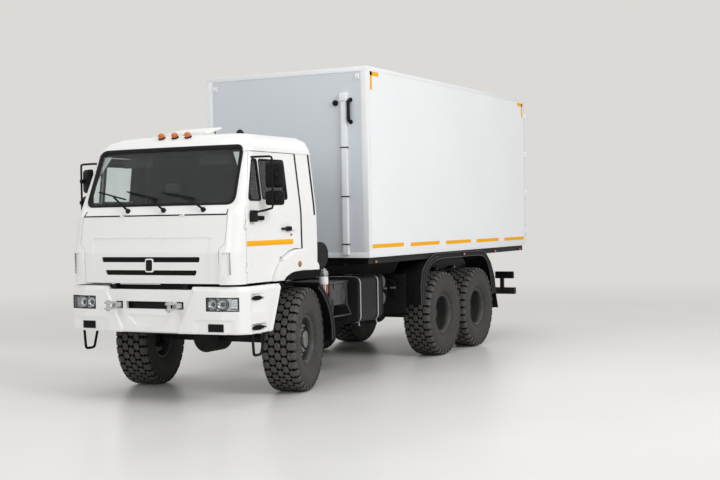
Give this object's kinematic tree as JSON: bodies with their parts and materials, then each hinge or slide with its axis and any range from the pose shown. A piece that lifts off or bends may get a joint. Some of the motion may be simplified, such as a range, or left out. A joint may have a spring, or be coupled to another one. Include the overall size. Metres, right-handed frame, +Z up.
{
  "type": "box-bodied all-wheel-drive truck",
  "caption": "Cab-over all-wheel-drive truck with a closed load box, tilting cab, opening doors and steered wheels",
  "frame": {"origin": "on the ground under the middle of the truck's overall box", "axes": "+X forward, +Y to the driver's left, +Z up"},
  "size_m": [9.269, 2.8998, 4.03],
  "materials": {
    "cab_paint": "gloss white",
    "box_panel": "satin pale grey-white",
    "chassis_black": "satin black",
    "black_plastic": "matte",
    "wheel_paint": "satin dark grey",
    "tyre": "matte",
    "glass": "tinted",
    "lamp_lens": "clear",
    "lamp_orange": "clear orange",
    "trim_dark": "grained",
    "fork_steel": "pale grey paint",
    "floor_ply": "film-faced plywood"
  },
  "bodies": {
    "chassis": {"air_cleaner": "black_plastic", "air_tanks": "chassis_black", "battery_box": "chassis_black", "box_floor": "floor_ply", "box_front_wall": "box_panel", "box_portal": "box_panel", "box_roof": "box_panel", "box_side_walls": "box_panel", "box_subframe": "chassis_black", "bumper": "cab_paint", "bumper_fittings": "black_plastic", "exhaust": "chassis_black", "frame": "chassis_black", "front_axle": "chassis_black", "fuel_tank": "chassis_black", "lamps": "lamp_lens", "mudguards": "black_plastic", "powertrain": "chassis_black", "prop_shafts": "chassis_black", "rear_axles": "chassis_black", "rear_bumper": "chassis_black", "springs": "chassis_black", "tow_coupling": "chassis_black", "tow_forks": "fork_steel"},
    "load_door_left": {"box_door_left": "box_panel"},
    "load_door_right": {"box_door_right": "box_panel"},
    "cab": {"cab_back_wall": "cab_paint", "cab_floor": "cab_paint", "cab_front": "cab_paint", "cab_roof": "cab_paint", "cab_sides": "cab_paint", "dashboard": "trim_dark", "roof_lamps": "lamp_orange", "seats": "trim_dark", "windscreen": "glass", "wipers": "black_plastic"},
    "cab_door_left": {"door_glass_left": "glass", "door_left": "cab_paint", "mirrors_left": "black_plastic"},
    "cab_door_right": {"door_glass_right": "glass", "door_right": "cab_paint", "mirrors_right": "black_plastic"},
    "service_panel": {"front_panel": "cab_paint", "grille": "black_plastic"},
    "steer_left": {"knuckle_left": "chassis_black"},
    "steer_right": {"knuckle_right": "chassis_black"},
    "hatch": {"roof_hatch": "cab_paint"},
    "road_wheel_front_left": {"tyre_front_left": "tyre", "wheel_front_left": "wheel_paint"},
    "road_wheel_front_right": {"tyre_front_right": "tyre", "wheel_front_right": "wheel_paint"},
    "road_wheel_middle_left": {"tyre_middle_left": "tyre", "wheel_middle_left": "wheel_paint"},
    "road_wheel_middle_right": {"tyre_middle_right": "tyre", "wheel_middle_right": "wheel_paint"},
    "road_wheel_rear_left": {"tyre_rear_left": "tyre", "wheel_rear_left": "wheel_paint"},
    "road_wheel_rear_right": {"tyre_rear_right": "tyre", "wheel_rear_right": "wheel_paint"}
  },
  "joints": [
    {"name": "cab_tilt", "type": "hinge", "parent": "chassis", "child": "cab", "pos_m": [4.3695, 0, 1.312], "axis": [0, 1, 0], "range_deg": [0, 50]},
    {"name": "hatch_lift", "type": "hinge", "parent": "cab", "child": "hatch", "pos_m": [3.6225, 0, 3.068], "axis": [0, 1, 0], "range_deg": [-14, 16]},
    {"name": "service_panel_lift", "type": "hinge", "parent": "cab", "child": "service_panel", "pos_m": [4.3133, 0, 2.115], "axis": [0, -1, 0], "range_deg": [0, 80]},
    {"name": "cab_door_left_swing", "type": "hinge", "parent": "cab", "child": "cab_door_left", "pos_m": [4.1675, 1.1883, 2], "axis": [0, 0, -1], "range_deg": [0, 70]},
    {"name": "cab_door_right_swing", "type": "hinge", "parent": "cab", "child": "cab_door_right", "pos_m": [4.1675, -1.1883, 2], "axis": [0, 0, 1], "range_deg": [0, 70]},
    {"name": "load_door_left_swing", "type": "hinge", "parent": "chassis", "child": "load_door_left", "pos_m": [-4.6225, 1.246, 2.5], "axis": [0, 0, -1], "range_deg": [0, 250]},
    {"name": "load_door_right_swing", "type": "hinge", "parent": "chassis", "child": "load_door_right", "pos_m": [-4.6225, -1.246, 2.5], "axis": [0, 0, 1], "range_deg": [0, 250]},
    {"name": "steer_left", "type": "hinge", "parent": "chassis", "child": "steer_left", "pos_m": [2.9745, 0.825, 0.617], "axis": [0, 0, 1], "range_deg": [-44.6, 19.4]},
    {"name": "steer_right", "type": "hinge", "parent": "chassis", "child": "steer_right", "pos_m": [2.9745, -0.825, 0.617], "axis": [0, 0, 1], "range_deg": [-44.6, 19.4]},
    {"name": "spin_front_left", "type": "hinge", "parent": "steer_left", "child": "road_wheel_front_left", "pos_m": [2.93087, 1.02018, 0.617], "axis": [-0.2181, 0.9759, 0], "continuous": true},
    {"name": "spin_middle_left", "type": "hinge", "parent": "chassis", "child": "road_wheel_middle_left", "pos_m": [-1.1255, 1.025, 0.617], "axis": [0, 1, 0], "continuous": true},
    {"name": "spin_rear_left", "type": "hinge", "parent": "chassis", "child": "road_wheel_rear_left", "pos_m": [-2.4455, 1.025, 0.617], "axis": [0, 1, 0], "continuous": true},
    {"name": "spin_front_right", "type": "hinge", "parent": "steer_right", "child": "road_wheel_front_right", "pos_m": [3.01813, -1.02018, 0.617], "axis": [-0.2181, 0.9759, 0], "continuous": true},
    {"name": "spin_middle_right", "type": "hinge", "parent": "chassis", "child": "road_wheel_middle_right", "pos_m": [-1.1255, -1.025, 0.617], "axis": [0, 1, 0], "continuous": true},
    {"name": "spin_rear_right", "type": "hinge", "parent": "chassis", "child": "road_wheel_rear_right", "pos_m": [-2.4455, -1.025, 0.617], "axis": [0, 1, 0], "continuous": true}
  ],
  "couplings": [
    {"joint": "steer_right", "follows": "steer_left", "ratio": 1}
  ]
}
